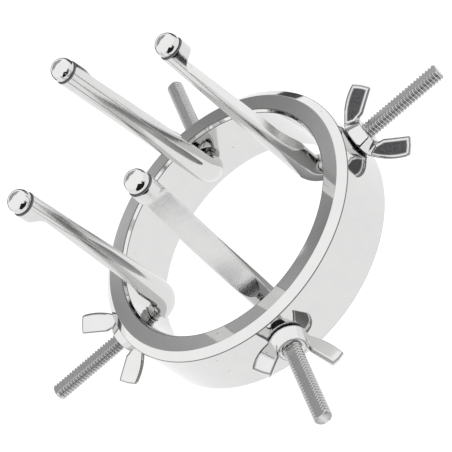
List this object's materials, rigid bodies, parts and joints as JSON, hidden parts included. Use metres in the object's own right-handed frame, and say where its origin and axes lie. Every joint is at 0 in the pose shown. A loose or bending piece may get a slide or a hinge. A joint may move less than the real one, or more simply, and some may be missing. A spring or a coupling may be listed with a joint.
{
  "type": "anal retractor",
  "caption": "Ring-framed anal retractor with bent ball-ended prongs whose flatted threaded studs slide through the ring wall, each drawn outwards by a wing nut.",
  "frame": {"origin": "on the ring's axis, at the ring's back face, which the instrument rests on", "axes": "+Z along the ring's axis from the back face towards the ball ends of the prongs; +X along the stud of prong_1, +Y along the stud of prong_2"},
  "size_m": [0.179, 0.1806, 0.0931],
  "materials": {
    "polished_steel": "mirror polished"
  },
  "bodies": {
    "ring": {"ring": "polished_steel"},
    "prong_1": {"prong_1": "polished_steel"},
    "prong_2": {"prong_2": "polished_steel"},
    "prong_3": {"prong_3": "polished_steel"},
    "prong_4": {"prong_4": "polished_steel"},
    "wing_nut_1": {"wing_nut_1": "polished_steel"},
    "wing_nut_2": {"wing_nut_2": "polished_steel"},
    "wing_nut_3": {"wing_nut_3": "polished_steel"},
    "wing_nut_4": {"wing_nut_4": "polished_steel"}
  },
  "joints": [
    {"name": "prong_slide_1", "type": "slide", "parent": "ring", "child": "prong_1", "axis": [1, 0, 0], "range_m": [-0.0239, 0.0026]},
    {"name": "nut_spin_1", "type": "hinge", "parent": "ring", "child": "wing_nut_1", "pos_m": [0.0528, 0, 0.011], "axis": [1, 0, 0], "range_deg": [-740, 6780]},
    {"name": "prong_slide_2", "type": "slide", "parent": "ring", "child": "prong_2", "axis": [0, 1, 0], "range_m": [-0.0247, 0.0018]},
    {"name": "nut_spin_2", "type": "hinge", "parent": "ring", "child": "wing_nut_2", "pos_m": [0, 0.0528, 0.011], "axis": [0, 1, 0], "range_deg": [-515, 7005]},
    {"name": "prong_slide_3", "type": "slide", "parent": "ring", "child": "prong_3", "axis": [-1, 0, 0], "range_m": [-0.0239, 0.0026]},
    {"name": "nut_spin_3", "type": "hinge", "parent": "ring", "child": "wing_nut_3", "pos_m": [-0.0528, 0, 0.011], "axis": [-1, 0, 0], "range_deg": [-740, 6780]},
    {"name": "prong_slide_4", "type": "slide", "parent": "ring", "child": "prong_4", "axis": [0, -1, 0], "range_m": [-0.0247, 0.0018]},
    {"name": "nut_spin_4", "type": "hinge", "parent": "ring", "child": "wing_nut_4", "pos_m": [0, -0.0528, 0.011], "axis": [0, -1, 0], "range_deg": [-515, 7005]}
  ],
  "couplings": [
    {"joint": "nut_spin_1", "follows": "prong_slide_1", "rad_per_m": -4947.4},
    {"joint": "nut_spin_2", "follows": "prong_slide_2", "rad_per_m": -4947.4},
    {"joint": "nut_spin_3", "follows": "prong_slide_3", "rad_per_m": -4947.4},
    {"joint": "nut_spin_4", "follows": "prong_slide_4", "rad_per_m": -4947.4}
  ]
}
